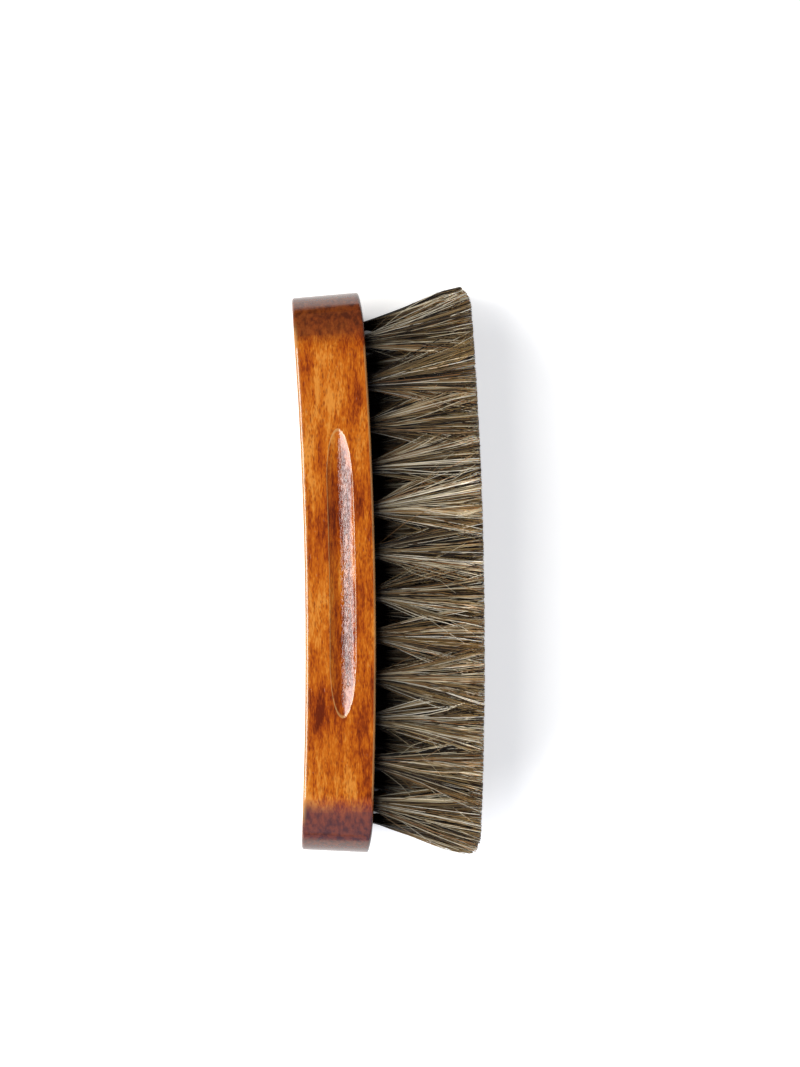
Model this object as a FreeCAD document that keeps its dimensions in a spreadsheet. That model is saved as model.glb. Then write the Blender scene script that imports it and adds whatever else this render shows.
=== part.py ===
"""Shoe shine brush: an arched wooden block with finger grooves, drilled and filled with horsehair tufts.

The brush lies on one flank: +Z is up through its width, +Y runs along its length and the bristles
point along +X. The origin is under the middle of its bounding box. All lengths are in millimetres.
"""

import FreeCAD, Part
import math
import os

import Sketcher

# Driving dimensions
SIZES = {
    # the wooden block
    "block_length": 180,
    "block_width": 54,
    "block_thickness": 22.5,
    "back_radius": 1375,
    "end_corner_radius": 20,
    "face_end_length": 11,
    "face_end_drop": 1.2,
    "back_edge_radius": 0.9,
    "face_edge_radius": 0.9,
    # the finger groove in each flank
    "groove_length": 92.5,
    "groove_width": 8.4,
    "groove_depth": 1.3,
    "groove_end_length": 18,
    "groove_shift": 0.7,
    "groove_lip_radius": 0.3,
    # the drilled holes and the tufts in them
    "hole_diameter": 5,
    "hole_depth": 12,
    "hole_clearance": 0.05,
    "tuft_end_margin": 9.5,
    "tuft_side_margin": 8.5,
    "tuft_collar": 0.8,
    "bristle_length": 35,
    "tip_overhang": 2.8,
    "tip_side_clearance": 0.3,
    "tip_gap": 0.4,
    # the flat wire anchors that hold the folded tufts down
    "anchor_bite": 0.7,
    "anchor_width": 1.8,
    "anchor_thickness": 0.45,
    "anchor_rise": 1.6,
    # how far every cutting shape runs past the surface that it cuts
    "cut_overrun": 4,
}

# Tufts in each row, from the lower flank to the upper one; the inner rows reach further out
ROW_COUNTS = (12, 13, 13, 12)
LONGEST_ROW = max(ROW_COUNTS)
ROW_GAPS = len(ROW_COUNTS) - 1
# Points looked at along an edge when edges are picked by their place
EDGE_SAMPLES = 5

# Sizes that follow from the driving dimensions
DERIVED = {
    "face_radius": "back_radius + block_thickness",
    "tip_radius": "face_radius + bristle_length",
    "face_end_radius": "(face_end_length ^ 2 + face_end_drop ^ 2) / (2 * face_end_drop)",
    "corner_radius": "min(end_corner_radius; block_width / 2 - back_edge_radius)",
    "end_angle": "asin(block_length / 2 / face_radius)",
    "back_edge_angle": "end_angle - asin(back_edge_radius / (back_radius + back_edge_radius))",
    "back_sag": "(back_radius + back_edge_radius) * (1 - cos(back_edge_angle))",
    "centre_shift": "(back_sag - block_thickness - bristle_length) / 2",
    "groove_radius": "(groove_width ^ 2 / 4 + groove_depth ^ 2) / (2 * groove_depth)",
    "groove_end_radius": "(groove_end_length ^ 2 + groove_depth ^ 2) / (2 * groove_depth)",
    "groove_arch_radius": "back_radius + block_thickness / 2 + groove_shift",
    "groove_angle": "asin((groove_length / 2 - groove_end_length) / groove_arch_radius)",
    "tuft_pitch": f"(block_length - 2 * tuft_end_margin) / {LONGEST_ROW - 1}",
    "row_pitch": f"(block_width - 2 * tuft_side_margin) / {ROW_GAPS}",
    "tip_row_pitch": f"(block_width - 2 * tip_side_clearance) / {ROW_GAPS + 1}",
    "tip_reach": "block_length / 2 + tip_overhang",
    "tip_room": f"(2 * tip_reach + tip_gap) / {LONGEST_ROW}",
    "head_diameter": "min(tip_row_pitch; tip_room) - tip_gap",
    "tip_pitch": f"(2 * tip_reach - head_diameter) / {LONGEST_ROW - 1}",
    "tuft_turn": "tuft_pitch / face_radius * 1 rad",
    "splay_step": "(tip_pitch - tuft_pitch * tip_radius / face_radius) / bristle_length",
    "row_splay_step": "(tip_row_pitch - row_pitch) / bristle_length",
    "anchor_length": "hole_diameter + 2 * anchor_bite",
    "anchor_depth": "hole_depth - anchor_rise - anchor_width / 2",
}

doc = FreeCAD.newDocument("shoe_shine_brush")
sheet = doc.addObject("Spreadsheet::Sheet", "Sizes")
for row, (alias, value) in enumerate((*SIZES.items(), *DERIVED.items()), start=1):
    sheet.set(f"A{row}", alias)
    sheet.set(f"B{row}", f"={value}" if alias in DERIVED else str(value))
    sheet.setAlias(f"B{row}", alias)
doc.recompute()


def value_of(formula):
    """A formula on the sheet as a plain number of millimetres or degrees."""
    result = sheet.evalExpression(formula)
    return float(getattr(result, "Value", result))


def size(alias):
    """One size from the sheet as a plain number."""
    return value_of(f"Sizes.{alias}")


def new_sketch(body, name, role="XY_Plane"):
    """A sketch on one of the body's own origin planes."""
    plane = next(item for item in body.Origin.OriginFeatures if item.Role == role)
    sketch = body.newObject("Sketcher::SketchObject", name)
    sketch.AttachmentSupport = [(plane, "")]
    sketch.MapMode = "FlatFace"
    return sketch


def drive(sketch, name, kind, *items, formula):
    """A named dimension in a sketch, driven by a formula on the sheet."""
    index = sketch.addConstraint(Sketcher.Constraint(kind, *items, value_of(formula)))
    sketch.renameConstraint(index, name)
    sketch.setExpression(f"Constraints.{name}", formula)


def add_feature(body, kind, name, sketch, axis="H_Axis", **formulas):
    """A feature made from a sketch: turned about one of its axes, or as deep on both sides of it."""
    feature = body.newObject(f"PartDesign::{kind}", name)
    feature.Profile = sketch
    if kind == "Revolution":
        feature.ReferenceAxis = (sketch, [axis])
    else:
        feature.Midplane = True
    for setting, formula in formulas.items():
        feature.setExpression(setting, formula)
    doc.recompute()


def round_edges(body, name, numbers, radius):
    """Rounds numbered edges of a body's latest shape."""
    base = body.Tip
    fillet = body.newObject("PartDesign::Fillet", name)
    fillet.Base = (base, [f"Edge{number}" for number in numbers])
    fillet.setExpression("Radius", radius)
    doc.recompute()


def place(item, x="0", y="0", z="0", yaw="0", pitch="0", roll="0"):
    """Puts a piece in the brush's frame, with formulas for its place and its turns."""
    spot = f"create(<<vector>>; {x}; {y}; {z})"
    turn = f"create(<<rotation>>; {yaw}; {pitch}; {roll})"
    item.setExpression("Placement", f"create(<<placement>>; {spot}; {turn})")


def link(original, name, **formulas):
    """A linked copy of a body, put in its own place."""
    copy = doc.addObject("App::Link", name)
    copy.LinkedObject = original
    place(copy, **formulas)
    return copy


def edges_where(shape, test):
    """Numbers of the edges along which every sampled point passes a test."""
    samples = (edge.discretize(Number=EDGE_SAMPLES) for edge in shape.Edges)
    return [number for number, points in enumerate(samples, start=1) if all(map(test, points))]


def rim_where(shape, test):
    """Numbers of the edges that go once round the faces whose corners all pass a test."""
    side = [face for face in shape.Faces if all(test(corner.Point) for corner in face.Vertexes)]
    around = [edge for face in side for edge in face.Edges]
    counts = (sum(edge.isSame(other) for other in around) for edge in shape.Edges)
    return [number for number, count in enumerate(counts, start=1) if count == 1]


# Block blank: one arched piece of wood, sawn to its side profile and rounded in plan and along its edges
def make_blank():
    body = doc.addObject("PartDesign::Body", "block_blank")
    profile = new_sketch(body, "side_profile")
    back = size("back_radius")
    face = size("face_radius")
    relief = size("face_end_radius")
    face_end = face - size("face_end_drop")
    end = math.radians(size("end_angle"))
    joint = end - size("face_end_length") / face
    sweep = size("face_end_length") / relief
    centre = FreeCAD.Vector(-back, 0, 0)

    def polar(radius, angle):
        return centre + FreeCAD.Vector(radius * math.cos(angle), radius * math.sin(angle), 0)

    def arc(middle, radius, start, stop):
        return Part.ArcOfCircle(Part.Circle(middle, FreeCAD.Vector(0, 0, 1), radius), start, stop)

    # back arc, upper end, upper relief, face arc, lower relief, lower end
    profile.addGeometry(arc(centre, back, -end, end))
    profile.addGeometry(Part.LineSegment(polar(back, end), polar(face_end, end)))
    profile.addGeometry(arc(polar(face - relief, joint), relief, joint, joint + sweep))
    profile.addGeometry(arc(centre, face, -joint, joint))
    profile.addGeometry(arc(polar(face - relief, -joint), relief, -joint - sweep, -joint))
    profile.addGeometry(Part.LineSegment(polar(face_end, -end), polar(back, -end)))
    for kind, *items in (
        ("Coincident", 0, 2, 1, 1),
        ("Coincident", 1, 2, 2, 2),
        ("Coincident", 4, 1, 5, 1),
        ("Coincident", 5, 2, 0, 1),
        ("Coincident", 0, 3, 3, 3),
        ("Tangent", 2, 1, 3, 2),
        ("Tangent", 3, 1, 4, 2),
        ("PointOnObject", 0, 3, -1),
        ("PointOnObject", 0, 3, 1),
        ("PointOnObject", 0, 3, 5),
        ("Symmetric", 1, 2, 5, 1, -1),
        ("Equal", 2, 4),
    ):
        profile.addConstraint(Sketcher.Constraint(kind, *items))
    drive(profile, "back_arc", "Radius", 0, formula="Sizes.back_radius")
    drive(profile, "arch_centre", "DistanceX", 0, 3, -1, 1, formula="Sizes.back_radius")
    drive(profile, "face_arc", "Radius", 3, formula="Sizes.face_radius")
    drive(profile, "relief_arc", "Radius", 2, formula="Sizes.face_end_radius")
    drive(profile, "length", "DistanceY", 5, 1, 1, 2, formula="Sizes.block_length")
    face_length = "Sizes.block_length - 2 * Sizes.face_end_length"
    drive(profile, "face_arc_length", "DistanceY", 3, 1, 3, 2, formula=face_length)
    add_feature(body, "Pad", "width", profile, Length="Sizes.block_width")

    def on_corner(point):
        near_end = abs(point.y) > (size("block_length") - size("face_end_length")) / 2
        return near_end and abs(point.z) > size("block_width") / 4

    def on_back(point):
        return math.hypot(point.x + back, point.y) < (back + face) / 2

    def on_face(point):
        return not on_back(point)

    round_edges(body, "plan_corners", edges_where(body.Shape, on_corner), "Sizes.corner_radius")
    round_edges(body, "back_edge", rim_where(body.Shape, on_back), "Sizes.back_edge_radius")
    round_edges(body, "face_edge", rim_where(body.Shape, on_face), "Sizes.face_edge_radius")
    place(body, x="Sizes.centre_shift", z="Sizes.block_width / 2")
    return body


# Finger grooves: a round-nosed cut with softened lips along each flank, which follows the arch and
# runs out at both ends
def groove_profile(body, name, across, level):
    """The groove's section in the body's XZ plane, centred at a place across and level with the flank."""
    sketch = new_sketch(body, name, "XZ_Plane")
    flank = value_of(level)
    top = flank + size("cut_overrun")
    middle = FreeCAD.Vector(value_of(across), flank + size("groove_radius") - size("groove_depth"), 0)
    nose = size("groove_radius")
    lip = size("groove_lip_radius")
    drop = middle.y - flank + lip
    half = math.sqrt((nose + lip) ** 2 - drop**2)
    lean = math.atan2(drop, half)

    def arc(x, y, radius, first, last):
        circle = Part.Circle(FreeCAD.Vector(x, y, 0), FreeCAD.Vector(0, 0, 1), radius)
        return Part.ArcOfCircle(circle, first, last)

    def line(from_x, from_y, to_x, to_y):
        return Part.LineSegment(FreeCAD.Vector(from_x, from_y, 0), FreeCAD.Vector(to_x, to_y, 0))

    left = middle.x - half
    right = middle.x + half
    # left side, left lip, round nose, right lip, right side, top
    sketch.addGeometry(line(left, top, left, flank))
    sketch.addGeometry(arc(left, flank - lip, lip, lean, math.pi / 2))
    sketch.addGeometry(arc(middle.x, middle.y, nose, math.pi + lean, 2 * math.pi - lean))
    sketch.addGeometry(arc(right, flank - lip, lip, math.pi / 2, math.pi - lean))
    sketch.addGeometry(line(right, flank, right, top))
    sketch.addGeometry(line(right, top, left, top))
    for kind, *items in (
        ("Coincident", 0, 2, 1, 2),
        ("Tangent", 1, 1, 2, 1),
        ("Tangent", 2, 2, 3, 2),
        ("Coincident", 3, 1, 4, 1),
        ("Coincident", 4, 2, 5, 1),
        ("Coincident", 5, 2, 0, 1),
        ("Vertical", 0),
        ("Vertical", 4),
        ("Horizontal", 5),
        ("Vertical", 1, 3, 1, 2),
        ("Vertical", 3, 3, 3, 1),
        ("Horizontal", 1, 2, 3, 1),
        ("Equal", 1, 3),
    ):
        sketch.addConstraint(Sketcher.Constraint(kind, *items))
    nose_level = f"{level} + Sizes.groove_radius - Sizes.groove_depth"
    drive(sketch, "nose_radius", "Radius", 2, formula="Sizes.groove_radius")
    drive(sketch, "lip_radius", "Radius", 1, formula="Sizes.groove_lip_radius")
    drive(sketch, "nose_across", "DistanceX", -1, 1, 2, 3, formula=across)
    drive(sketch, "nose_level", "DistanceY", -1, 1, 2, 3, formula=nose_level)
    drive(sketch, "flank_level", "DistanceY", -1, 1, 1, 2, formula=level)
    drive(sketch, "top_level", "DistanceY", -1, 1, 5, 1, formula=f"{level} + Sizes.cut_overrun")
    return sketch


def cut_grooves(blank):
    run = doc.addObject("PartDesign::Body", "groove_run")
    run_profile = groove_profile(run, "run_profile", "Sizes.groove_arch_radius", "0")
    add_feature(run, "Revolution", "run", run_profile, "V_Axis", Angle="2 * Sizes.groove_angle")
    run.Tip.Midplane = True
    end = doc.addObject("PartDesign::Body", "groove_end")
    end_level = "Sizes.groove_depth - Sizes.groove_end_radius"
    end_profile = groove_profile(end, "end_profile", "0", end_level)
    add_feature(end, "Revolution", "run_out", end_profile, "H_Axis", Angle="90")
    arch_x = "Sizes.centre_shift - Sizes.back_radius"
    end_x = f"{arch_x} + Sizes.groove_arch_radius * cos(Sizes.groove_angle)"
    end_y = "Sizes.groove_arch_radius * sin(Sizes.groove_angle)"
    turn = "Sizes.groove_angle"
    grooved = blank
    for flank, level, side, roll in (
        ("upper", "Sizes.block_width", "-", "0"),
        ("lower", "0", "+", "180"),
    ):
        end_z = f"{level} {side} ({end_level})"
        shapes = [link(run, f"{flank}_run", x=arch_x, z=level, roll=roll)]
        for name, y, yaw in (("top", end_y, turn), ("bottom", f"-{end_y}", f"180 deg - {turn}")):
            facing = yaw if flank == "upper" else f"{yaw} + 180 deg"
            shapes.append(link(end, f"{flank}_{name}", x=end_x, y=y, z=end_z, yaw=facing, roll=roll))
        cutter = doc.addObject("Part::MultiFuse", f"{flank}_cutter")
        cutter.Shapes = shapes
        cut = doc.addObject("Part::Cut", f"{flank}_groove")
        cut.Base = grooved
        cut.Tool = cutter
        grooved = cut
    doc.recompute()
    return grooved


def outline(sketch, *corners, arc=None):
    """A closed outline through corners given as pairs of formulas, with one edge round where asked.

    The round edge ends along the tuft's axis, so its centre lies straight across from its far end.
    """
    spots = [FreeCAD.Vector(value_of(x), value_of(y), 0) for x, y in corners]
    for number, spot in enumerate(spots):
        after = spots[(number + 1) % len(spots)]
        edge = Part.LineSegment(spot, after)
        if number == arc:
            rise = after.y - spot.y
            radius = (rise**2 + (after.x - spot.x) ** 2) / (2 * rise)
            middle = after - FreeCAD.Vector(0, radius, 0)
            start = math.pi / 2
            stop = math.pi - math.asin((spot.y - middle.y) / radius)
            edge = Part.ArcOfCircle(Part.Circle(middle, FreeCAD.Vector(0, 0, 1), radius), start, stop)
        sketch.addGeometry(edge)
    # an arc runs against the clock, so on the round edge the first and last ends change places
    first = [2 if number == arc else 1 for number in range(len(spots))]
    last = [1 if number == arc else 2 for number in range(len(spots))]
    for number, (x, y) in enumerate(corners):
        after = (number + 1) % len(spots)
        ends = (number, last[number], after, first[after])
        sketch.addConstraint(Sketcher.Constraint("Coincident", *ends))
        drive(sketch, f"along_{number}", "DistanceX", -1, 1, number, first[number], formula=x)
        drive(sketch, f"across_{number}", "DistanceY", -1, 1, number, first[number], formula=y)
    if arc is not None:
        sketch.addConstraint(Sketcher.Constraint("Vertical", arc, 3, arc, 1))


def anchor_outline(body, name, length, clearance):
    """A sketch of the anchor's flat side, or of the slot for it, across a hole's axis."""
    sketch = new_sketch(body, name)
    deep = f"-Sizes.anchor_depth - Sizes.anchor_width / 2 - {clearance}"
    shallow = f"-Sizes.anchor_depth + Sizes.anchor_width / 2 + {clearance}"
    half = f"{length} / 2 + {clearance}"
    outline(sketch, (deep, f"-({half})"), (shallow, f"-({half})"), (shallow, half), (deep, half))
    return sketch


SLOT_THICKNESS = "Sizes.anchor_thickness + 2 * Sizes.hole_clearance"


# Drill: one blind hole with the slots that an anchor's ends bite into the wood
def make_drill():
    body = doc.addObject("PartDesign::Body", "tuft_drill")
    bore = new_sketch(body, "bore_profile")
    deep = "-Sizes.hole_depth"
    mouth = "Sizes.cut_overrun"
    wall = "Sizes.hole_diameter / 2"
    outline(bore, (deep, "0"), (mouth, "0"), (mouth, wall), (deep, wall))
    add_feature(body, "Revolution", "bore", bore)
    slot = anchor_outline(body, "bite_outline", "Sizes.anchor_length", "Sizes.hole_clearance")
    add_feature(body, "Pad", "bites", slot, Length=SLOT_THICKNESS)
    return body


# Tuft blank: a bundle of horsehair folded into its hole, untrimmed, that opens out like a tulip
def make_tuft_blank():
    body = doc.addObject("PartDesign::Body", "tuft_blank")
    bundle = new_sketch(body, "bundle_profile")
    deep = "-Sizes.hole_depth"
    collar = "Sizes.tuft_collar"
    reach = "Sizes.bristle_length + Sizes.cut_overrun"
    neck = "Sizes.hole_diameter / 2 - Sizes.hole_clearance"
    head = "Sizes.head_diameter / 2"
    outline(
        bundle, (deep, neck), (collar, neck), (reach, head), (reach, "0"), (deep, "0"), arc=1
    )
    add_feature(body, "Revolution", "bundle", bundle)
    fold = anchor_outline(body, "fold_outline", "Sizes.hole_diameter", "Sizes.hole_clearance")
    add_feature(body, "Pocket", "fold", fold, Length=SLOT_THICKNESS)
    return body


# Anchor: a short length of flat steel wire driven across the fold of a tuft
def make_anchor_blank():
    body = doc.addObject("PartDesign::Body", "anchor_blank")
    strip = anchor_outline(body, "strip_outline", "Sizes.anchor_length", "0")
    add_feature(body, "Pad", "strip", strip, Length="Sizes.anchor_thickness")
    return body


def seated(blank, name, row, number):
    """A copy of a blank on the axis of one hole, leaning outwards with its place in the field."""
    along = number - (ROW_COUNTS[row] - 1) / 2
    across = row - ROW_GAPS / 2
    turn = f"{along} * Sizes.tuft_turn"
    return link(
        blank,
        name,
        x=f"Sizes.centre_shift - Sizes.back_radius + Sizes.face_radius * cos({turn})",
        y=f"Sizes.face_radius * sin({turn})",
        z=f"Sizes.block_width / 2 + {across} * Sizes.row_pitch",
        yaw=f"{turn} + atan({along} * Sizes.splay_step)",
        pitch=f"-atan({across} * Sizes.row_splay_step)",
    )


grooved_block = cut_grooves(make_blank())
drill = make_drill()
tuft_blank = make_tuft_blank()
anchor_blank = make_anchor_blank()
places = [(row, number) for row, count in enumerate(ROW_COUNTS) for number in range(count)]

# Block: the grooved blank with every hole drilled
holes = doc.addObject("Part::Compound", "holes")
holes.Links = [seated(drill, f"hole_{row + 1}_{number + 1}", row, number) for row, number in places]
block = doc.addObject("Part::Cut", "block")
block.Base = grooved_block
block.Tool = holes
pieces = [block]

# Tufts: every tuft is trimmed to the round surface that the tips share
trim = doc.addObject("Part::Cylinder", "trim_surface")
trim.setExpression("Radius", "Sizes.tip_radius")
trim.setExpression("Height", "Sizes.block_width + 2 * Sizes.cut_overrun")
place(trim, x="Sizes.centre_shift - Sizes.back_radius", z="-Sizes.cut_overrun")
for row, number in places:
    tuft = doc.addObject("Part::Common", f"tuft_row_{row + 1}_{number + 1:02d}")
    tuft.Base = seated(tuft_blank, f"bundle_{row + 1}_{number + 1}", row, number)
    tuft.Tool = trim
    pieces.append(tuft)

# Anchors: the wires of each row, one in every hole
for row, count in enumerate(ROW_COUNTS):
    anchors = doc.addObject("Part::Compound", f"anchors_row_{row + 1}")
    anchors.Links = [
        seated(anchor_blank, f"anchor_{row + 1}_{number + 1}", row, number) for number in range(count)
    ]
    pieces.append(anchors)

doc.recompute()
faults = [item.Name for item in doc.Objects if {"Invalid", "Error"} & set(item.State)]
faults += [piece.Label for piece in pieces if piece.Shape.isNull() or not piece.Shape.isValid()]
if faults:
    raise SystemExit(f"failed objects: {', '.join(faults)}")

os.makedirs("parts", exist_ok=True)
for piece in pieces:
    piece.Shape.exportStep(f"parts/{piece.Label}.step")
    box = piece.Shape.BoundBox
    print(f"{piece.Label}: {len(piece.Shape.Solids)} solids, {piece.Shape.Volume:.0f} mm3, {box}")
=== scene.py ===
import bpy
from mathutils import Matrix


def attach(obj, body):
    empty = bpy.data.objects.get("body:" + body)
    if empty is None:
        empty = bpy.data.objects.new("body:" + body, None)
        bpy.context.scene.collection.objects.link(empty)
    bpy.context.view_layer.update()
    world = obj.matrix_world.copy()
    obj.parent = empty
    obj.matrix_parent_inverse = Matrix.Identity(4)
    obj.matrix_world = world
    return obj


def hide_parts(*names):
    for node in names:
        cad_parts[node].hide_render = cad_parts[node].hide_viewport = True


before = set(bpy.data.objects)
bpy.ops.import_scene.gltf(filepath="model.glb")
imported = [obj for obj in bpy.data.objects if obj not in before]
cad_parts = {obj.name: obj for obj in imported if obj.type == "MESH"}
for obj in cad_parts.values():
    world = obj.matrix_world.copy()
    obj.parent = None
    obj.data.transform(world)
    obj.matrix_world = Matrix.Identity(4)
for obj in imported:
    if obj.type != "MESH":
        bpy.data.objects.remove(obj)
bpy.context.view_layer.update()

import math

import bpy
import numpy as np

# Block: one piece of beech, sawn to a gentle arch, rounded at its ends and edges, and grooved along
# both flanks for the fingers. It was sanded, stained orange-brown and lacquered, then drilled for
# the bristles. The piece is the CAD solid with its seams closed and its long faces cut short.
ARCH_CENTRE_X = -1.40235
BACK_RADIUS = 1.375
FACE_RADIUS = 1.3975
GROOVE_RADIUS = 1.38695
THICKNESS = 0.0225
HALF_WIDTH = 0.027
FACE_EDGE = 0.0009
SEAM_GAP = 0.000002
LONGEST_FACE = 0.004
CUTS_EACH_WAY = 22
SHARP_EDGE = math.radians(35)
FLAT_FLANK = 0.99999

bpy.ops.object.select_all(action="DESELECT")
block = bpy.data.objects.new("beech_block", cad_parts["block"].data.copy())
bpy.context.scene.collection.objects.link(block)
block.select_set(True)
bpy.context.view_layer.objects.active = block
bpy.ops.mesh.customdata_custom_splitnormals_clear()
bpy.ops.object.mode_set(mode="EDIT")
bpy.ops.mesh.select_all(action="SELECT")
bpy.ops.mesh.remove_doubles(threshold=SEAM_GAP)
for step in range(-CUTS_EACH_WAY, CUTS_EACH_WAY + 1):
    bpy.ops.mesh.select_all(action="SELECT")
    bpy.ops.mesh.bisect(plane_co=(0, step * LONGEST_FACE, 0), plane_no=(0, 1, 0))
bpy.ops.object.mode_set(mode="OBJECT")
bpy.ops.object.shade_smooth_by_angle(angle=SHARP_EDGE)
weighted = block.modifiers.new("even_normals", "WEIGHTED_NORMAL")
weighted.keep_sharp = True
bpy.ops.object.modifier_apply(modifier=weighted.name)
# the flat flanks shade flat right up to the lips of the groove
normals = np.empty(3 * len(block.data.loops), np.float32)
block.data.corner_normals.foreach_get("vector", normals)
normals = normals.reshape(-1, 3)
for face in block.data.polygons:
    if abs(face.normal.z) > FLAT_FLANK:
        normals[list(face.loop_indices)] = face.normal
block.data.normals_split_custom_set(normals.tolist())


def linear(code):
    """An sRGB hex colour as linear red, green, blue and alpha."""
    shares = [int(code[place : place + 2], 16) / 255 for place in (1, 3, 5)]
    return (*[s / 12.92 if s <= 0.04045 else ((s + 0.055) / 1.055) ** 2.4 for s in shares], 1)


def add_node(tree, kind, inputs=None, stops=(), **settings):
    """One shader node with its settings, its inputs linked to nodes or sockets or set directly.

    The lowest and the highest stop of a colour ramp come first, as a new ramp has these two.
    """
    node = tree.nodes.new("ShaderNode" + kind)
    for name, value in settings.items():
        setattr(node, name, value)
    for number, (position, code) in enumerate(stops):
        if number < 2:
            element = node.color_ramp.elements[number]
            element.position = position
        else:
            element = node.color_ramp.elements.new(position)
        element.color = linear(code)
    for name, value in (inputs or {}).items():
        if isinstance(value, bpy.types.Node):
            value = value.outputs[0]
        if isinstance(value, bpy.types.NodeSocket):
            tree.links.new(value, node.inputs[name])
        else:
            node.inputs[name].default_value = value
    return node


def eased(tree, value, start, stop, low=0, high=1):
    """A smooth step of a value, from low at start to high at stop."""
    inputs = {"Value": value, "From Min": start, "From Max": stop, "To Min": low, "To Max": high}
    return add_node(tree, "MapRange", inputs, interpolation_type="SMOOTHSTEP")


def grain_noise(tree, place, across, along, **settings):
    """Noise drawn out along the grain, by the size of one mark across and along it."""
    drawn_out = (1 / across, 1 / along, 1 / across)
    drawn = add_node(tree, "VectorMath", {0: place, 1: drawn_out}, operation="MULTIPLY")
    return add_node(tree, "TexNoise", {"Vector": drawn, "Scale": 1, **settings})


# Stained and lacquered beech: a warm orange-brown ground, blotched where the stain took unevenly,
# full of short dark ray flecks along the grain, darker on the end grain and rubbed paler on the
# edges, with a painted highlight on the pale band along the back, under a clear coat that gives
# soft white lights.
beech = bpy.data.materials.new("stained_lacquered_beech")
beech.use_nodes = True
tree = beech.node_tree
tree.nodes.clear()
place = add_node(tree, "TexCoord").outputs["Object"]
x, y, z = add_node(tree, "SeparateXYZ", {"Vector": place}).outputs

# where a point lies: how far from the back, the face, the flanks and the middle of the groove
from_centre_x = add_node(tree, "Math", {0: x, 1: ARCH_CENTRE_X}, operation="SUBTRACT")
flat_place = add_node(tree, "CombineXYZ", {"X": from_centre_x, "Y": y})
radius = add_node(tree, "VectorMath", {0: flat_place}, operation="LENGTH").outputs["Value"]
from_back = add_node(tree, "Math", {0: radius, 1: BACK_RADIUS}, operation="SUBTRACT")
from_face = add_node(tree, "Math", {0: FACE_RADIUS, 1: radius}, operation="SUBTRACT")
from_middle = add_node(tree, "Math", {0: z, 1: HALF_WIDTH}, operation="SUBTRACT")
from_middle = add_node(tree, "Math", {0: from_middle}, operation="ABSOLUTE")
below_flank = add_node(tree, "Math", {0: HALF_WIDTH, 1: from_middle}, operation="SUBTRACT")
past_groove = add_node(tree, "Math", {0: radius, 1: GROOVE_RADIUS}, operation="SUBTRACT")
from_groove = add_node(tree, "Math", {0: past_groove}, operation="ABSOLUTE")

# patterns, by the size of one mark across and along the grain
blotch = grain_noise(tree, place, 0.011, 0.030, Detail=3, Roughness=0.55)
streak = grain_noise(tree, place, 0.0014, 0.008, Detail=3, Roughness=0.6)
fibre = grain_noise(tree, place, 0.0004, 0.0020, Detail=2, Roughness=0.6)
fleck = None
for across, along in ((0.0009, 0.0028), (0.0005, 0.0016)):
    fleck_place = add_node(
        tree, "VectorMath", {0: place, 1: (1 / across, 1 / along, 1 / across)}, operation="MULTIPLY"
    )
    waver = add_node(tree, "TexNoise", {"Vector": fleck_place, "Scale": 0.6, "Detail": 1})
    fleck_place = add_node(
        tree,
        "VectorMath",
        {0: waver.outputs["Color"], 1: (0.7, 0.7, 0.7), 2: fleck_place},
        operation="MULTIPLY_ADD",
    )
    cells = add_node(tree, "TexVoronoi", {"Vector": fleck_place, "Scale": 1, "Randomness": 1})
    marks = eased(tree, cells.outputs["Distance"], 0.52, 0.14)
    pick = add_node(
        tree, "MapRange", {"Value": cells.outputs["Color"], "From Min": 0.2, "From Max": 0.62}
    )
    marks = add_node(tree, "Math", {0: marks, 1: pick}, operation="MULTIPLY")
    if fleck is not None:
        marks = add_node(tree, "Math", {0: fleck, 1: marks}, operation="MAXIMUM")
    fleck = marks

# the ground colour, from the sum of the patterns, honey-coloured on a stretch before either end
from_mid_length = add_node(tree, "Math", {0: y}, operation="ABSOLUTE")
honey = eased(tree, from_mid_length, 0.046, 0.068)
tone = add_node(tree, "Math", {0: blotch, 1: 0.66}, operation="MULTIPLY")
tone = add_node(tree, "Math", {0: streak, 1: 0.44, 2: tone}, operation="MULTIPLY_ADD")
tone = add_node(tree, "Math", {0: fibre, 1: 0.38, 2: tone}, operation="MULTIPLY_ADD")
tone = add_node(tree, "Math", {0: honey, 1: 0.04, 2: tone}, operation="MULTIPLY_ADD")
across = add_node(
    tree,
    "MapRange",
    {"Value": from_back, "From Min": 0, "From Max": THICKNESS, "To Min": 0.05, "To Max": -0.04},
)
tone = add_node(tree, "Math", {0: tone, 1: across}, operation="ADD")
# dark patches seen in the photograph: where they lie, and half their width and length
for patch_x, patch_y, wide, long in (
    (-0.0240, -0.0450, 0.0028, 0.0090),
    (-0.0080, -0.0660, 0.0030, 0.0110),
    (-0.0100, 0.0560, 0.0032, 0.0100),
    (-0.0215, 0.0400, 0.0025, 0.0080),
):
    off = add_node(tree, "VectorMath", {0: place, 1: (patch_x, patch_y, 0)}, operation="SUBTRACT")
    off = add_node(tree, "VectorMath", {0: off, 1: (1 / wide, 1 / long, 0)}, operation="MULTIPLY")
    off = add_node(tree, "VectorMath", {0: off}, operation="LENGTH").outputs["Value"]
    patch = eased(tree, off, 1.5, 0, high=-0.10)
    tone = add_node(tree, "Math", {0: tone, 1: patch}, operation="ADD")
ground = add_node(
    tree,
    "ValToRGB",
    {"Fac": tone},
    stops=(
        (0.56, "#662004"),
        (0.89, "#DE8B34"),
        (0.66, "#9B4009"),
        (0.73, "#B9590D"),
        (0.80, "#CA6C15"),
    ),
)
crowd = add_node(
    tree,
    "MapRange",
    {"Value": streak, "From Min": 0.64, "From Max": 0.40, "To Min": 0.2, "To Max": 0.75},
)
fleck_share = add_node(tree, "Math", {0: fleck, 1: crowd}, operation="MULTIPLY")
marked = add_node(tree, "MixRGB", {"Fac": fleck_share, "Color1": ground, "Color2": linear("#742608")})

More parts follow.
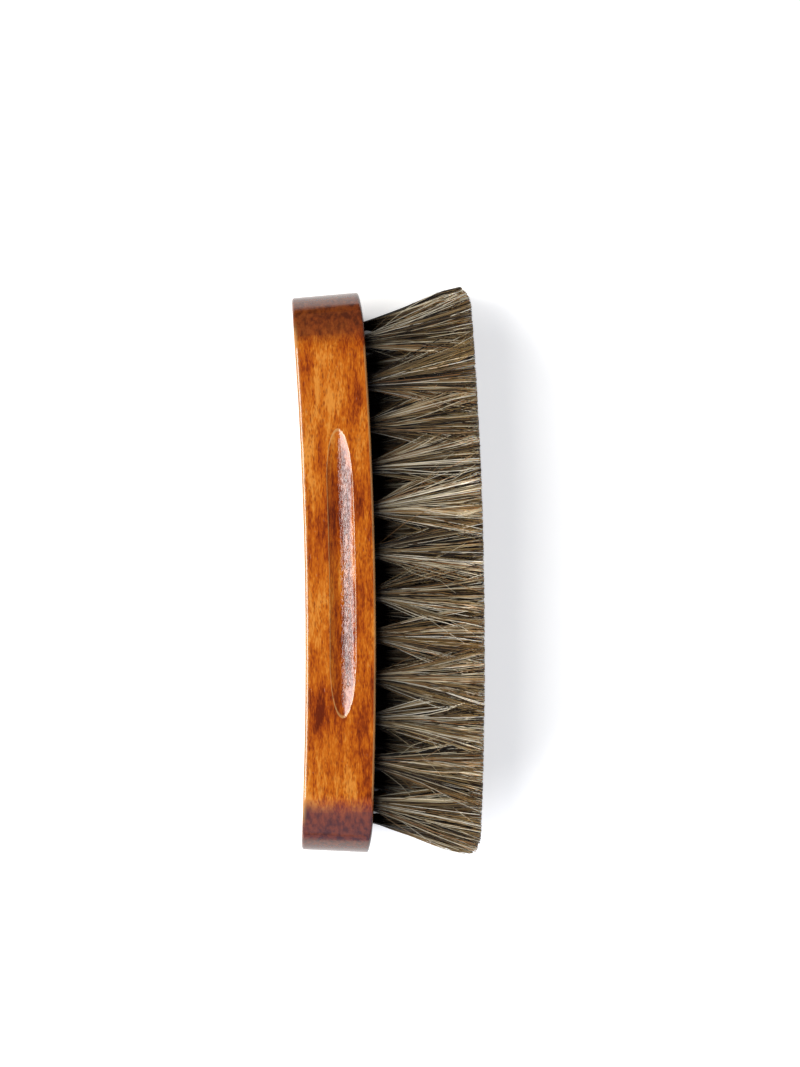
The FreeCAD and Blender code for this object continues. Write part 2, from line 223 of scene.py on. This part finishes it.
# the groove was cut and not sanded: the open grain of its wall towards the face holds more stain,
# in fine lines
in_width = add_node(tree, "Math", {0: from_groove, 1: 0.0048}, operation="LESS_THAN")
in_length = add_node(tree, "Math", {0: from_mid_length, 1: 0.048}, operation="LESS_THAN")
in_groove = add_node(tree, "Math", {0: in_width, 1: in_length}, operation="MULTIPLY")
groove_depth = eased(tree, below_flank, 0.0002, 0.0010)
groove = add_node(tree, "Math", {0: in_groove, 1: groove_depth}, operation="MULTIPLY")
lines = grain_noise(tree, place, 0.0005, 0.0018, Detail=3, Roughness=0.65)
lines = eased(tree, lines, 0.44, 0.60)
rough_wall = add_node(
    tree,
    "MapRange",
    {"Value": past_groove, "From Min": -0.0008, "From Max": 0.0010, "To Min": 0.15, "To Max": 1},
)
lines = add_node(tree, "Math", {0: lines, 1: groove}, operation="MULTIPLY")
lines = add_node(tree, "Math", {0: lines, 1: rough_wall}, operation="MULTIPLY")
dark_wall = add_node(tree, "Math", {0: groove, 1: rough_wall}, operation="MULTIPLY")
dark_wall = add_node(
    tree, "MapRange", {"Value": dark_wall, "From Min": 0.15, "From Max": 1, "To Max": 0.35}
)
line_share = add_node(tree, "Math", {0: lines, 1: 0.5, 2: dark_wall}, operation="MULTIPLY_ADD")
pooled = add_node(tree, "MixRGB", {"Fac": line_share, "Color1": marked, "Color2": linear("#4A1A0A")})

# end grain drinks the stain and goes dark brown
normal = add_node(tree, "NewGeometry").outputs["Normal"]
normal_y = add_node(tree, "SeparateXYZ", {"Vector": normal}).outputs["Y"]
end_turn = add_node(tree, "Math", {0: normal_y}, operation="ABSOLUTE")
end_turn = add_node(tree, "Math", {0: blotch, 1: 0.35, 2: end_turn}, operation="MULTIPLY_ADD")
end_grain = eased(tree, end_turn, 0.28, 0.58)
uptake = add_node(
    tree, "MapRange", {"Value": y, "From Min": -0.07, "From Max": 0.07, "To Min": 1, "To Max": 0.87}
)
end_share = add_node(tree, "Math", {0: end_grain, 1: uptake}, operation="MULTIPLY")
end_tint = add_node(tree, "ValToRGB", {"Fac": streak}, stops=((0.36, "#54230E"), (0.62, "#843C17")))
ended = add_node(tree, "MixRGB", {"Fac": end_share, "Color1": pooled, "Color2": end_tint})

# edges rubbed pale: thin lines along the face and the lips of the groove, and a broad band along
# the back that is partly wear and partly a painted highlight where that edge faces the soft box
back_near = eased(tree, from_back, 0.0016, 0.0002)
flank_near = eased(tree, below_flank, 0.0045, 0.0010)
back_wear_and_highlight = add_node(tree, "Math", {0: back_near, 1: flank_near}, operation="MULTIPLY")
corner_sum = add_node(tree, "Math", {0: from_face, 1: below_flank}, operation="ADD")
face_wear = eased(tree, corner_sum, 0.95 * FACE_EDGE, 0.62 * FACE_EDGE)
lip_start = add_node(tree, "MapRange", {"Value": below_flank, "From Min": 0.00001, "From Max": 0.00003})
lip_stop = eased(tree, below_flank, 0.00020, 0.00008)
lip = add_node(tree, "Math", {0: lip_start, 1: lip_stop}, operation="MULTIPLY")
lip = add_node(tree, "Math", {0: lip, 1: in_groove}, operation="MULTIPLY")
wear_and_highlight = add_node(tree, "Math", {0: back_wear_and_highlight, 1: face_wear}, operation="MAXIMUM")
wear_and_highlight = add_node(tree, "Math", {0: wear_and_highlight, 1: lip}, operation="MAXIMUM")
wear_and_highlight = add_node(tree, "Math", {0: wear_and_highlight, 1: 0.5}, operation="MULTIPLY")
worn_and_highlit = add_node(tree, "MixRGB", {"Fac": wear_and_highlight, "Color1": ended, "Color2": linear("#E2AE6A")})

# the grain under the lacquer, with open lines in the groove
height = add_node(tree, "Math", {0: fleck, 1: -0.7, 2: fibre}, operation="MULTIPLY_ADD")
height = add_node(tree, "Math", {0: lines, 1: -9, 2: height}, operation="MULTIPLY_ADD")
grain = add_node(tree, "Bump", {"Height": height, "Strength": 1, "Distance": 0.000006})
surface = add_node(
    tree,
    "BsdfPrincipled",
    {
        "Base Color": worn_and_highlit,
        "Roughness": 0.45,
        "IOR": 1.5,
        "Specular IOR Level": 0,
        "Coat Weight": 1,
        "Coat Roughness": 0.11,
        "Coat IOR": 1.7,
        "Normal": grain,
        "Coat Normal": grain,
    },
)
add_node(tree, "OutputMaterial", {"Surface": surface})
block.data.materials.clear()
block.data.materials.append(beech)
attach(block, "root")
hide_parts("block")

# Anchors: short lengths of flat steel wire, driven across the fold of every tuft so that their ends
# bite into the wood at the bottom of the hole. They lie unseen under the hair and stay CAD solids.
ANCHOR_ROWS = ("anchors_row_1", "anchors_row_2", "anchors_row_3", "anchors_row_4")

# Drawn steel wire: grey metal with fine lines from the drawing die along its length.
wire = bpy.data.materials.new("drawn_steel_wire")
wire.use_nodes = True
tree = wire.node_tree
tree.nodes.clear()
place = add_node(tree, "TexCoord").outputs["Object"]
lines = grain_noise(tree, place, 0.00008, 0.0030, Detail=2)
tint = add_node(tree, "ValToRGB", {"Fac": lines}, stops=((0.3, "#8C8A86"), (0.7, "#B4B2AD")))
drawn = add_node(tree, "Bump", {"Height": lines, "Strength": 0.2, "Distance": 0.00002})
surface = add_node(
    tree,
    "BsdfPrincipled",
    {"Base Color": tint, "Metallic": 1, "Roughness": 0.38, "Normal": drawn},
)
add_node(tree, "OutputMaterial", {"Surface": surface})
for name in ANCHOR_ROWS:
    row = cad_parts[name]
    row.data.materials.clear()
    row.data.materials.append(wire)

# Tufts: bundles of horsehair, folded over an anchor and drawn into the drilled holes, that fan out
# from the face of the block and are cut to one arched line. Each tuft of separate hairs stands for
# its CAD bundle, and starts as one straight hair that is copied and bent along its own way.
HAIRS = 500
LOCKS = 40
LOOSE_SHARE = 0.30
STRAYS = 10
HOLE_DEPTH = 0.012
ROOT_DEPTH = 0.0100
ROOT_RADIUS = 0.0023
FAN_ALONG = 0.0112
FAN_ACROSS = 0.0078
BRISTLE_LENGTH = 0.035
TIP_RADIUS = 1.43225
# half the length and half the width of the field of hair, at shares of the way from face to tips
FIELD_SHARES = (0, 0.19, 0.35, 0.52, 0.69, 0.80, 1)
FIELD_ENDS = (0.0811, 0.0832, 0.0850, 0.0873, 0.0895, 0.0907, 0.0915)
FIELD_SIDES = (0.0209, 0.0222, 0.0232, 0.0243, 0.0252, 0.0259, 0.0268)
CORNER_START = 0.0855
CORNER_DROP = 0.0022
CORNER_CURVE = 1.5
END_MARGIN = 0.003
SIDE_MARGIN = 0.002
# horsehair is 0.15 to 0.25 mm thick
HAIR_RADIUS = 0.000122
HAIR_STATIONS = np.array([-1, 0, 0.12, 0.27, 0.44, 0.62, 0.81, 1.0])
SIDES = 3
TAPER_AT = (-1, 0, 0.8, 1)
TAPER = (0.9, 1, 1, 0.75)
# the parts of a CAD bundle that show where its bottom and its top lie
BOTTOM_SLICE = 0.001
TOP_SLICE = 0.0025
# how the hairs of a tuft differ in spread, sway, bend and waves
LOCK_SPREAD = 0.07
FAN_CHANGE = 0.08
TUFT_SWAY = 0.0008
LOCK_SWAY = (0.0024, 0.0015)
HAIR_SWAY = 0.0003
STRAY_FAN = 1.5
FLARE = (-0.6, 0.2)
FLARE_CHANGE = 0.12
LOCK_WAVE = 0.0007
HAIR_WAVE = 0.0003
STRAY_WAVE = 3
WAVE_TURNS = (0.5, 1.1)
STATION_SHIFT = 0.05
# how far hairs end short of the cut: all of them, some short ones and the strays
CUT_CHANGE = 0.0005
SHORT_SHARE = 0.10
SHORT_BY = (0.0005, 0.009)
STRAY_SHORT_BY = 0.014
CUT_ROUNDS = 4
# shades run from 0, nearly black, to 1, nearly white; thicknesses are shares of the hair radius
LOCK_TONES = 0.85
TONE_CURVE = 1.4
TONE_CHANGE = 0.16
PALE_SHARE = 0.10
PALE_TONES = (0.80, 1.0)
STRAY_TONES = (0.5, 0.95)
THICKNESSES = (0.72, 1.28)
STRAY_THICKNESS = 0.75
PALE_THICKNESS = 1.15
# painted shade: the inner rows, deep among the others, are darkened further up from the root than the
# outer ones
INNER_ROWS = ("tuft_row_2", "tuft_row_3")
INNER_ROOT_SHADE = 0.28
ROOT_SHADE_FADE = 0.35

bpy.ops.object.select_all(action="DESELECT")
bpy.ops.mesh.primitive_circle_add(vertices=SIDES, radius=1, location=(0, 0, 0))
hair = bpy.context.object
hair.name = "one_hair"
bpy.ops.object.mode_set(mode="EDIT")
bpy.ops.mesh.select_all(action="SELECT")
for _ in HAIR_STATIONS[1:]:
    bpy.ops.mesh.extrude_region_move(TRANSFORM_OT_translate={"value": (0, 0, 1)})
bpy.ops.mesh.edge_face_add()
bpy.ops.mesh.select_all(action="SELECT")
bpy.ops.mesh.normals_make_consistent(inside=False)
bpy.ops.object.mode_set(mode="OBJECT")
hair_points = np.array([corner.co for corner in hair.data.vertices])
hair_faces = [list(face.vertices) for face in hair.data.polygons]
bpy.data.objects.remove(hair)
hair_ring = np.rint(hair_points[:, 2]).astype(int)
hair_corners = np.concatenate(hair_faces)
hair_counts = np.array([len(face) for face in hair_faces])

# Horsehair: glossy, straight, natural hair in mixed shades, mostly grey-brown, with dark, golden,
# reddish and pale grey ones among them, each paler at its cut tip, with painted shade that darkens
# it towards the root and a painted highlight that brightens the cut tip further.
horsehair = bpy.data.materials.new("natural_horsehair")
horsehair.use_nodes = True
tree = horsehair.node_tree
tree.nodes.clear()
tone = add_node(tree, "Attribute", attribute_name="hair_tone").outputs["Fac"]
shade = add_node(
    tree,
    "ValToRGB",
    {"Fac": tone},
    stops=(
        (0.0, "#1A1510"),
        (1.0, "#F2E9D4"),
        (0.16, "#453525"),
        (0.33, "#7A6544"),
        (0.48, "#A08455"),
        (0.60, "#9C6E42"),
        (0.70, "#AE9C79"),
        (0.85, "#D4C6A6"),
    ),
)
length = add_node(tree, "Attribute", attribute_name="hair_along").outputs["Fac"]
# painted shade: the hair darkens towards its root, where the hairs shade one another
painted_root_shade = add_node(
    tree,
    "MapRange",
    {"Value": length, "From Min": -0.15, "From Max": 0.55, "To Min": 0.05, "To Max": 1},
)
# paler cut tips, brightened further by a painted highlight
paler_and_lit_tips = add_node(
    tree,
    "MapRange",
    {"Value": length, "From Min": 0.76, "From Max": 1, "To Min": 1, "To Max": 2.5},
)
painted_light_factor = add_node(tree, "Math", {0: painted_root_shade, 1: paler_and_lit_tips}, operation="MULTIPLY")
tone_with_painted_light = add_node(
    tree, "MixRGB", {"Fac": 1, "Color1": shade, "Color2": painted_light_factor}, blend_type="MULTIPLY"
)
surface = add_node(
    tree,
    "BsdfPrincipled",
    {"Base Color": tone_with_painted_light, "Roughness": 0.38, "IOR": 1.55, "Specular IOR Level": 0.1},
)
add_node(tree, "OutputMaterial", {"Surface": surface})


def make_tuft(node_name, seed, root_shade_shift):
    """One tuft of bent hairs in the place of a CAD bundle, its roots darkened by root_shade_shift."""
    chance = np.random.default_rng(seed)
    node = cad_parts[node_name]
    points = np.empty(len(node.data.vertices) * 3)
    node.data.vertices.foreach_get("co", points)
    points = points.reshape(-1, 3)
    deep = points[points[:, 0] < points[:, 0].min() + BOTTOM_SLICE]
    tips = points[points[:, 0] > points[:, 0].max() - TOP_SLICE]
    bottom = (deep.min(0) + deep.max(0)) / 2
    top = (tips.min(0) + tips.max(0)) / 2
    axis = (top - bottom) / np.linalg.norm(top - bottom)
    mouth = bottom + axis * HOLE_DEPTH
    along = np.array([0.0, 1.0, 0.0]) - axis[1] * axis
    along /= np.linalg.norm(along)
    across = np.cross(axis, along)

    # most hairs belong to a lock, which has its place in the round bundle; the rest lie loose
    lock = chance.integers(0, LOCKS, HAIRS)
    loose = chance.uniform(0, 1, HAIRS) < LOOSE_SHARE
    lock[loose] = LOCKS + np.arange(loose.sum())
    groups = LOCKS + loose.sum()
    far = np.sqrt(chance.uniform(0, 1, groups))
    turn = chance.uniform(0, 2 * math.pi, groups)
    centre = np.stack([far * np.cos(turn), far * np.sin(turn)], 1)
    spot = centre[lock] + chance.normal(0, LOCK_SPREAD, (HAIRS, 2))
    spot /= np.maximum(np.linalg.norm(spot, axis=1, keepdims=True), 1)
    stray = np.arange(HAIRS) < STRAYS
    root = spot * ROOT_RADIUS
    fan = np.array([FAN_ALONG, FAN_ACROSS])
    tip = (centre[lock] + spot) / 2 * fan * chance.normal(1, FAN_CHANGE)
    sway = chance.normal(0, TUFT_SWAY, 2) + chance.normal(0, LOCK_SWAY, (groups, 2))
    tip += sway[lock] + chance.normal(0, HAIR_SWAY, (HAIRS, 2))
    tip[stray] = chance.uniform(-STRAY_FAN, STRAY_FAN, (STRAYS, 2)) * fan
    flare = chance.uniform(*FLARE, groups)[lock] + chance.normal(0, FLARE_CHANGE, HAIRS)
    wave_size = chance.normal(0, LOCK_WAVE, (groups, 2))[lock]
    wave_size = wave_size + chance.normal(0, HAIR_WAVE, (HAIRS, 2))
    wave_size[stray] *= STRAY_WAVE
    wave_start = chance.uniform(0, 2 * math.pi, groups)[lock]
    wave_count = chance.uniform(*WAVE_TURNS, groups)[lock]

    # the way of every hair, as places from the fold to the tip, at stations of its own
    station = np.tile(HAIR_STATIONS, (HAIRS, 1))
    free = (HAIRS, len(HAIR_STATIONS) - 3)
    station[:, 2:-1] += chance.uniform(-STATION_SHIFT, STATION_SHIFT, free)
    share = np.clip(station, 0, 1)
    spread = share + flare[:, None] * share * (1 - share)
    wave = np.sin(wave_start[:, None] + 2 * math.pi * wave_count[:, None] * share)
    wave = (wave - np.sin(wave_start)[:, None]) * share
    aside = root[:, None, :] + (tip - root)[:, None, :] * spread[:, :, None]
    aside = aside + wave_size[:, None, :] * wave[:, :, None]
    reach = np.full(HAIRS, BRISTLE_LENGTH)
    cut = -np.abs(chance.normal(0, CUT_CHANGE, HAIRS))
    short = chance.uniform(0, 1, HAIRS) < SHORT_SHARE
    cut[short] -= chance.uniform(*SHORT_BY, short.sum())
    cut[stray] -= chance.uniform(0, STRAY_SHORT_BY, STRAYS)
    for _ in range(CUT_ROUNDS):
        end = mouth + axis * reach[:, None] + along * aside[:, -1, :1] + across * aside[:, -1, 1:]
        end_radius = np.hypot(end[:, 0] - ARCH_CENTRE_X, end[:, 1])
        corner = (np.abs(end[:, 1]) - CORNER_START) / (FIELD_ENDS[-1] - CORNER_START)
        drop = CORNER_DROP * np.clip(corner, 0, 1) ** CORNER_CURVE
        reach += TIP_RADIUS + cut - drop - end_radius
    depth = np.where(station < 0, -ROOT_DEPTH, station * reach[:, None])
    way = mouth + axis * depth[:, :, None] + along * aside[:, :, :1] + across * aside[:, :, 1:]
    # hairs at the rim of the field lie against one another and keep within its outline
    height = np.hypot(way[:, 1:, 0] - ARCH_CENTRE_X, way[:, 1:, 1]) - FACE_RADIUS
    height = height / BRISTLE_LENGTH
    for side, middle, limits, margin in (
        (1, 0, FIELD_ENDS, END_MARGIN),
        (2, HALF_WIDTH, FIELD_SIDES, SIDE_MARGIN),
    ):
        off = way[:, 1:, side] - middle
        limit = np.interp(height, FIELD_SHARES, limits)
        over = np.maximum(np.abs(off) - (limit - margin), 0)
        kept = np.where(over > 0, limit - margin * np.exp(-over / margin), np.abs(off))
        way[:, 1:, side] = middle + np.sign(off) * kept

    # the shade of each hair, near that of its lock
    hair_tone = LOCK_TONES * chance.uniform(0, 1, groups)[lock] ** TONE_CURVE
    hair_tone = hair_tone + chance.normal(0, TONE_CHANGE, HAIRS)
    pale = chance.uniform(0, 1, HAIRS) < PALE_SHARE
    hair_tone[pale] = chance.uniform(*PALE_TONES, pale.sum())
    hair_tone[stray] = chance.uniform(*STRAY_TONES, STRAYS)
    hair_tone = np.clip(hair_tone, 0, 1)

    # the copied hair, bent along each way
    thick = HAIR_RADIUS * chance.uniform(*THICKNESSES, HAIRS)
    thick[stray] *= STRAY_THICKNESS
    thick[pale] *= PALE_THICKNESS
    thick = thick[:, None] * np.interp(station, TAPER_AT, TAPER)
    rim = hair_points[:, 0, None] * along + hair_points[:, 1, None] * across
    verts = way[:, hair_ring, :] + rim * thick[:, hair_ring, None]
    count = len(hair_points)
    corners = (hair_corners[None, :] + count * np.arange(HAIRS)[:, None]).ravel()
    starts = np.concatenate([[0], np.cumsum(np.tile(hair_counts, HAIRS))[:-1]])
    mesh = bpy.data.meshes.new("hair_" + node_name)
    mesh.vertices.add(count * HAIRS)
    mesh.vertices.foreach_set("co", verts.astype(np.float32).ravel())
    mesh.loops.add(len(corners))
    mesh.loops.foreach_set("vertex_index", corners.astype(np.int32))
    mesh.polygons.add(len(starts))
    mesh.polygons.foreach_set("loop_start", starts.astype(np.int32))
    mesh.polygons.foreach_set("use_smooth", np.ones(len(starts), bool))
    mesh.update(calc_edges=True)

    # the values that the material reads, and a small field of the map for each hair
    tones = mesh.attributes.new("hair_tone", "FLOAT", "POINT")
    tones.data.foreach_set("value", np.repeat(hair_tone, count).astype(np.float32))
    lengths = mesh.attributes.new("hair_along", "FLOAT", "POINT")
    # painted shade: the root shade of the inner rows reaches further up the hair
    shaded = share - root_shade_shift * np.exp(-share / ROOT_SHADE_FADE)
    lengths.data.foreach_set("value", shaded[:, hair_ring].astype(np.float32).ravel())
    fields = math.ceil(math.sqrt(HAIRS))
    number = np.repeat(np.arange(HAIRS), len(hair_corners))
    around = np.tile(0.5 + 0.35 * hair_points[hair_corners, 0], HAIRS)
    up = np.tile(0.1 + 0.8 * hair_ring[hair_corners] / hair_ring.max(), HAIRS)
    uv = np.stack([(number % fields + around) / fields, (number // fields + up) / fields], 1)
    mesh.uv_layers.new(name="OFBake").data.foreach_set("uv", uv.astype(np.float32).ravel())
    mesh.materials.append(horsehair)
    tuft = bpy.data.objects.new("hair_" + node_name, mesh)
    bpy.context.scene.collection.objects.link(tuft)
    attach(tuft, "root")
    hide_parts(node_name)


tuft_names = sorted(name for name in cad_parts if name.startswith("tuft_row"))
for seed, node_name in enumerate(tuft_names, 1):
    make_tuft(node_name, seed, INNER_ROOT_SHADE if node_name.startswith(INNER_ROWS) else 0)

# Floor: a sheet of white paper under the brush, on a dark bench that is pale blue on the near side.
# It takes the soft shadow, and is lifted to clear white for the camera and, less, for the lacquer that
# mirrors it. Under the roots of the hair it has a painted shadow, darker paper that is not lifted, and
# around the brush painted light, lifted further for the camera, that shortens the ends of the shadow.
FLOOR_SIZE = 6
FLOOR_DROP = 0.0002
PAPER_RADIUS = 0.20
BENCH_RADIUS = 0.26
PAPER_LIFT = 0.655
MIRRORED_SHARE = 0.66
AROUND_PAINTED_LIGHT = 0.34
AROUND_MIDDLE = (0, 0.006, 0)
bpy.ops.object.select_all(action="DESELECT")
bpy.ops.mesh.primitive_plane_add(size=FLOOR_SIZE, location=(0, 0, -FLOOR_DROP))
floor = bpy.context.object
floor.name = "floor"
bpy.ops.object.transform_apply(location=True)
white = bpy.data.materials.new("white_paper_on_dark_bench")
white.use_nodes = True
tree = white.node_tree
tree.nodes.clear()
place = add_node(tree, "TexCoord").outputs["Object"]
far = add_node(tree, "VectorMath", {0: place}, operation="LENGTH").outputs["Value"]
bench = eased(tree, far, PAPER_RADIUS, BENCH_RADIUS)
x, y, _ = add_node(tree, "SeparateXYZ", {"Vector": place}).outputs
far_side = add_node(tree, "MapRange", {"Value": y, "From Min": -0.25, "From Max": 0})
bench_tint = add_node(
    tree, "MixRGB", {"Fac": far_side, "Color1": linear("#849BC2"), "Color2": linear("#404040")}
)
cover = add_node(tree, "MixRGB", {"Fac": bench, "Color1": linear("#DEDCD7"), "Color2": bench_tint})

# painted shadow: the strip under the roots of the hair is darker paper that the lift leaves out,
# narrower and less dark towards its ends
from_mid_length = add_node(tree, "Math", {0: y}, operation="ABSOLUTE")
end_taper = add_node(
    tree,
    "MapRange",
    {"Value": from_mid_length, "From Min": 0.060, "From Max": 0.080, "To Max": 0.0125},
)
front = add_node(tree, "Math", {0: x, 1: end_taper}, operation="ADD")
painted_shadow_mask = None
for value, outside, inside in (
    (front, 0.012, 0.005),
    (x, -0.0105, -0.0070),
    (from_mid_length, 0.0850, 0.0785),
):
    side = eased(tree, value, outside, inside)
    if painted_shadow_mask is not None:
        side = add_node(tree, "Math", {0: painted_shadow_mask, 1: side}, operation="MULTIPLY")
    painted_shadow_mask = side
# painted shadow: the paper under the roots turns dark grey
shaded = add_node(tree, "MixRGB", {"Fac": painted_shadow_mask, "Color1": cover, "Color2": linear("#606060")})
end_light = eased(tree, from_mid_length, 0.068, 0.086, high=0.2)
open_share = add_node(tree, "MapRange", {"Value": painted_shadow_mask, "To Min": 1, "To Max": end_light})

# how far the paper is lifted, under the brush and around it; around it, painted light for the camera
# shortens the ends of the shadow
rays = add_node(tree, "LightPath").outputs
mirrored = add_node(
    tree, "Math", {0: rays["Is Glossy Ray"], 1: rays["Is Transmission Ray"]}, operation="MAXIMUM"
)
seen = add_node(
    tree, "Math", {0: mirrored, 1: MIRRORED_SHARE, 2: rays["Is Camera Ray"]}, operation="MULTIPLY_ADD"
)
paper_lift = add_node(tree, "MapRange", {"Value": bench, "To Min": PAPER_LIFT, "To Max": 0})
paper_lift = add_node(tree, "Math", {0: paper_lift, 1: open_share}, operation="MULTIPLY")
paper_lift = add_node(tree, "Math", {0: paper_lift, 1: seen}, operation="MULTIPLY")
# painted light: more lift for the camera around the brush, past the ends of its shadow
from_brush = add_node(tree, "VectorMath", {0: place, 1: AROUND_MIDDLE}, operation="DISTANCE")
around = eased(tree, from_brush.outputs["Value"], 0.075, 0.104, high=AROUND_PAINTED_LIGHT)
around = add_node(tree, "Math", {0: bench, 1: around}, operation="MAXIMUM")
lift = add_node(
    tree, "Math", {0: around, 1: rays["Is Camera Ray"], 2: paper_lift}, operation="MULTIPLY_ADD"
)
glow = add_node(tree, "Emission", {"Color": (1, 1, 1, 1), "Strength": lift})
matt = add_node(tree, "BsdfDiffuse", {"Color": shaded})
both = add_node(tree, "AddShader", {0: matt, 1: glow})
add_node(tree, "OutputMaterial", {"Surface": both})
floor.data.materials.append(white)

# Light: one tall soft box on the left, as a high window gives, a dim surround, darkest straight
# above, where the camera hangs, and a blue glow on the near side, which the lacquered end mirrors.
SOFT_BOX_SIZE = (1.1, 0.8)
SOFT_BOX_FAR = 1.3
SOFT_BOX_HEIGHT = math.radians(57)
SOFT_BOX_POWER = 22.0
soft_box = bpy.data.lights.new("soft_box", "AREA")
soft_box.shape = "RECTANGLE"
soft_box.size, soft_box.size_y = SOFT_BOX_SIZE
soft_box.energy = SOFT_BOX_POWER
lamp = bpy.data.objects.new("soft_box", soft_box)
bpy.context.scene.collection.objects.link(lamp)
lamp.location = (
    -SOFT_BOX_FAR * math.cos(SOFT_BOX_HEIGHT),
    0,
    SOFT_BOX_FAR * math.sin(SOFT_BOX_HEIGHT),
)
lamp.rotation_euler = (0, -(math.pi / 2 - SOFT_BOX_HEIGHT), 0)
lamp.visible_camera = False
surround = bpy.data.worlds.new("dim_surround")
bpy.context.scene.world = surround
surround.use_nodes = True
tree = surround.node_tree
tree.nodes.clear()
way_up = add_node(tree, "SeparateXYZ", {"Vector": add_node(tree, "TexCoord").outputs["Generated"]})
level = add_node(
    tree,
    "MapRange",
    {"Value": way_up.outputs["Z"], "From Min": 0.96, "From Max": 0.80, "To Min": 0.04, "To Max": 0.09},
)
from_camera = add_node(tree, "LightPath").outputs["Is Camera Ray"]
level = add_node(tree, "Math", {0: level, 1: from_camera}, operation="MAXIMUM")
sky = add_node(tree, "Background", {"Color": (1, 1, 1, 1), "Strength": level})
near_side = add_node(
    tree,
    "MapRange",
    {"Value": way_up.outputs["Y"], "From Min": -0.15, "From Max": -0.60, "To Max": 0.6},
)
high = add_node(tree, "MapRange", {"Value": way_up.outputs["Z"], "From Min": -0.02, "From Max": 0.02})
near_side = add_node(tree, "Math", {0: near_side, 1: high}, operation="MULTIPLY")
near_glow = add_node(tree, "Background", {"Color": linear("#A8C4FF"), "Strength": near_side})
both = add_node(tree, "AddShader", {0: sky, 1: near_glow})
add_node(tree, "OutputWorld", {"Surface": both})

# Camera: straight above the flank, a little turned, with the frame of the photograph.
FLANK_HEIGHT = 2 * HALF_WIDTH
CAMERA_ABOVE_FLANK = 1.885
CAMERA_X, CAMERA_Y = 0.00320, 0.01233
CAMERA_TURN = math.radians(-1.05)
lens = bpy.data.cameras.new("camera")
lens.lens = 200
lens.sensor_width = 36
camera = bpy.data.objects.new("camera", lens)
bpy.context.scene.collection.objects.link(camera)
camera.location = (CAMERA_X, CAMERA_Y, FLANK_HEIGHT + CAMERA_ABOVE_FLANK)
camera.rotation_euler = (0, 0, CAMERA_TURN)
bpy.context.scene.camera = camera
bpy.context.scene.view_settings.view_transform = "Standard"
